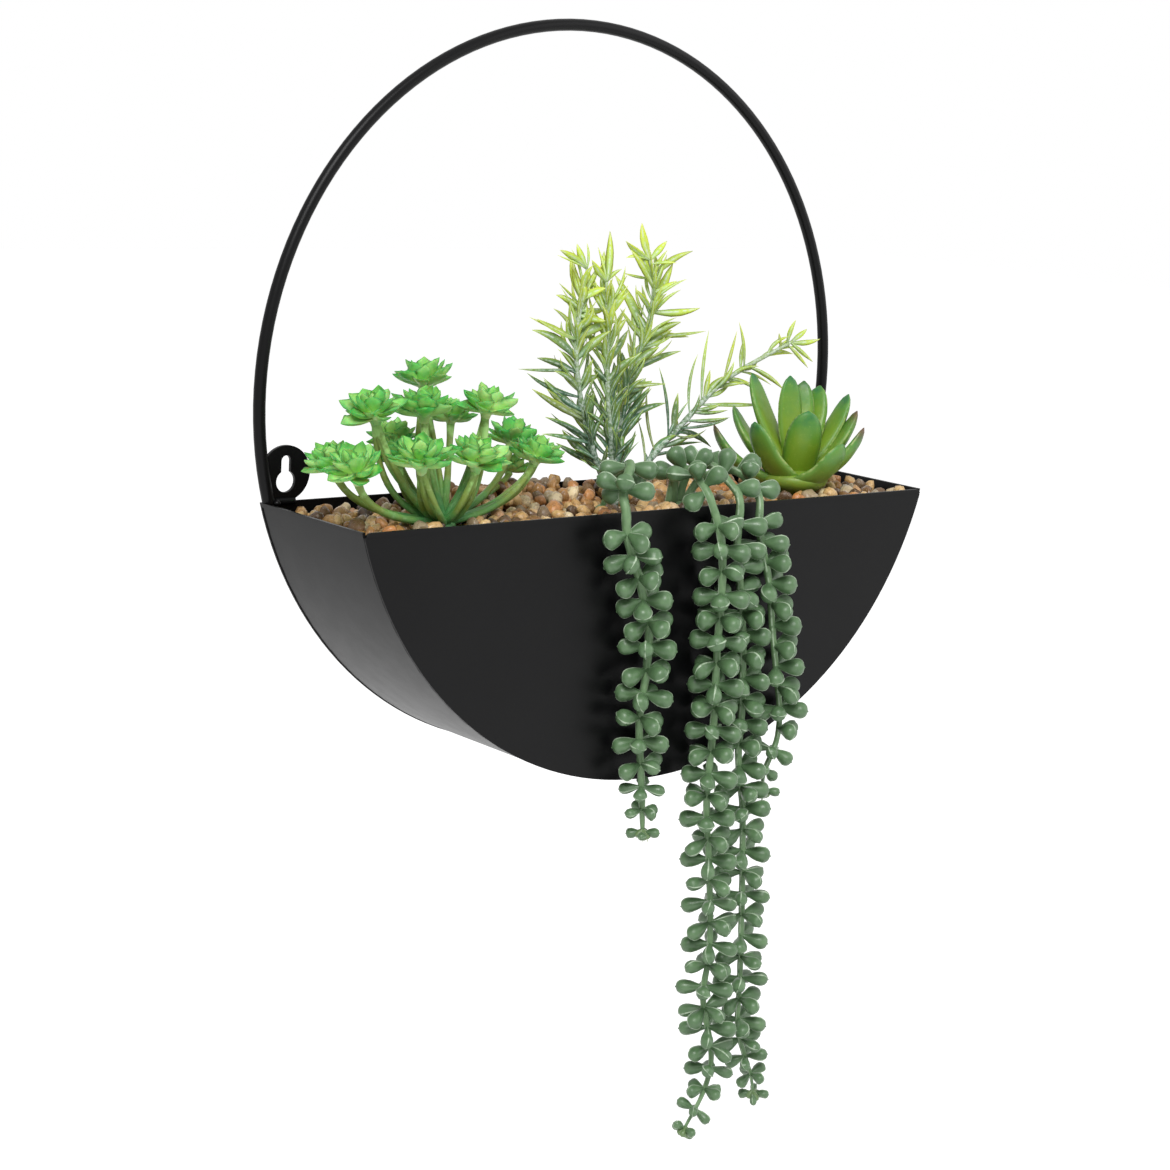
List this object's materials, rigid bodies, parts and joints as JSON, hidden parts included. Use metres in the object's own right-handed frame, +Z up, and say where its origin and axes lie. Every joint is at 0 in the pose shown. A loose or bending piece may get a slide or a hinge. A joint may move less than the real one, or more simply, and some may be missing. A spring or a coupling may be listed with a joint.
{
  "type": "wall planter",
  "caption": "Half-round sheet-metal wall planter under a rod hoop, with keyhole tabs and a gravel-topped foam insert holding rosette, sprig, agave and trailing pearl plants.",
  "frame": {"origin": "on the wall plane, midway between the round heads of the two keyholes", "axes": "+Z up, +Y into the wall, +X to the right as seen from the front"},
  "size_m": [0.3177, 0.1018, 0.4725],
  "materials": {
    "black_coating": "matte powder coat",
    "foam": "dry floral foam",
    "gravel": "mixed river gravel",
    "rosette_leaf": "satin moulded plastic",
    "rosette_stem": "satin moulded plastic",
    "sprig_leaf": "frosted moulded plastic",
    "sprig_stem": "frosted moulded plastic",
    "stake": "moulded plastic",
    "agave_leaf": "satin moulded plastic",
    "pearl_stem": "satin moulded plastic",
    "pearl_leaf": "satin moulded plastic"
  },
  "bodies": {
    "planter": {"front_panel": "black_coating", "back_panel": "black_coating", "curved_wall": "black_coating", "hoop": "black_coating", "keyhole_tab_left": "black_coating", "keyhole_tab_right": "black_coating", "tab_weld_left": "black_coating", "tab_weld_right": "black_coating", "hoop_weld_left": "black_coating", "hoop_weld_right": "black_coating"},
    "insert": {"foam_block": "foam", "gravel_bed": "gravel", "loose_stones": "gravel"},
    "rosette_plant": {"rosette_stems": "rosette_stem", "rosette_head_01": "rosette_leaf", "rosette_head_02": "rosette_leaf", "rosette_head_03": "rosette_leaf", "rosette_head_04": "rosette_leaf", "rosette_head_05": "rosette_leaf", "rosette_head_06": "rosette_leaf", "rosette_head_07": "rosette_leaf", "rosette_head_08": "rosette_leaf", "rosette_head_09": "rosette_leaf", "rosette_head_10": "rosette_leaf", "rosette_head_11": "rosette_leaf", "rosette_head_12": "rosette_leaf", "rosette_head_13": "rosette_leaf", "rosette_head_14": "rosette_leaf"},
    "sprig_plant": {"sprig_stems": "sprig_stem", "sprig_leaves_1": "sprig_leaf", "sprig_leaves_2": "sprig_leaf", "sprig_leaves_3": "sprig_leaf", "sprig_leaves_4": "sprig_leaf"},
    "agave_plant": {"agave_stake": "stake", "agave_head": "agave_leaf"},
    "trailing_left": {"trail_roots_left": "pearl_stem", "root_leaves_1": "pearl_leaf"},
    "trailing_right": {"trail_roots_right": "pearl_stem", "root_leaves_2": "pearl_leaf", "root_leaves_3": "pearl_leaf", "root_leaves_4": "pearl_leaf"},
    "strand_1": {"strand_stem_1": "pearl_stem", "strand_leaves_1": "pearl_leaf"},
    "strand_2": {"strand_stem_2": "pearl_stem", "strand_leaves_2": "pearl_leaf"},
    "strand_3": {"strand_stem_3": "pearl_stem", "strand_leaves_3": "pearl_leaf"},
    "strand_4": {"strand_stem_4": "pearl_stem", "strand_leaves_4": "pearl_leaf"}
  },
  "joints": [
    {"name": "insert_lift", "type": "slide", "parent": "planter", "child": "insert", "axis": [0, 0, 1], "range_m": [0, 0.13]},
    {"name": "rosette_plant_pull", "type": "slide", "parent": "insert", "child": "rosette_plant", "axis": [0, 0, 1], "range_m": [0, 0.05]},
    {"name": "sprig_plant_pull", "type": "slide", "parent": "insert", "child": "sprig_plant", "axis": [0, 0, 1], "range_m": [0, 0.05]},
    {"name": "agave_plant_pull", "type": "slide", "parent": "insert", "child": "agave_plant", "axis": [0, 0, 1], "range_m": [0, 0.05]},
    {"name": "trailing_left_pull", "type": "slide", "parent": "insert", "child": "trailing_left", "axis": [0, 0, 1], "range_m": [0, 0.05]},
    {"name": "trailing_right_pull", "type": "slide", "parent": "insert", "child": "trailing_right", "axis": [0, 0, 1], "range_m": [0, 0.05]},
    {"name": "strand_1_swing", "type": "hinge", "parent": "trailing_left", "child": "strand_1", "pos_m": [-0.02993, -0.084, -0.005], "axis": [-1, 0, 0], "range_deg": [0, 50]},
    {"name": "strand_2_swing", "type": "hinge", "parent": "trailing_right", "child": "strand_2", "pos_m": [0.01704, -0.084, -0.005], "axis": [-1, 0, 0], "range_deg": [0, 50]},
    {"name": "strand_3_swing", "type": "hinge", "parent": "trailing_right", "child": "strand_3", "pos_m": [0.03104, -0.084, -0.005], "axis": [-1, 0, 0], "range_deg": [0, 50]},
    {"name": "strand_4_swing", "type": "hinge", "parent": "trailing_right", "child": "strand_4", "pos_m": [0.04404, -0.084, -0.005], "axis": [-1, 0, 0], "range_deg": [0, 50]}
  ],
  "couplings": [
    {"joint": "strand_3_swing", "follows": "strand_2_swing", "ratio": 1},
    {"joint": "strand_4_swing", "follows": "strand_2_swing", "ratio": 1}
  ]
}
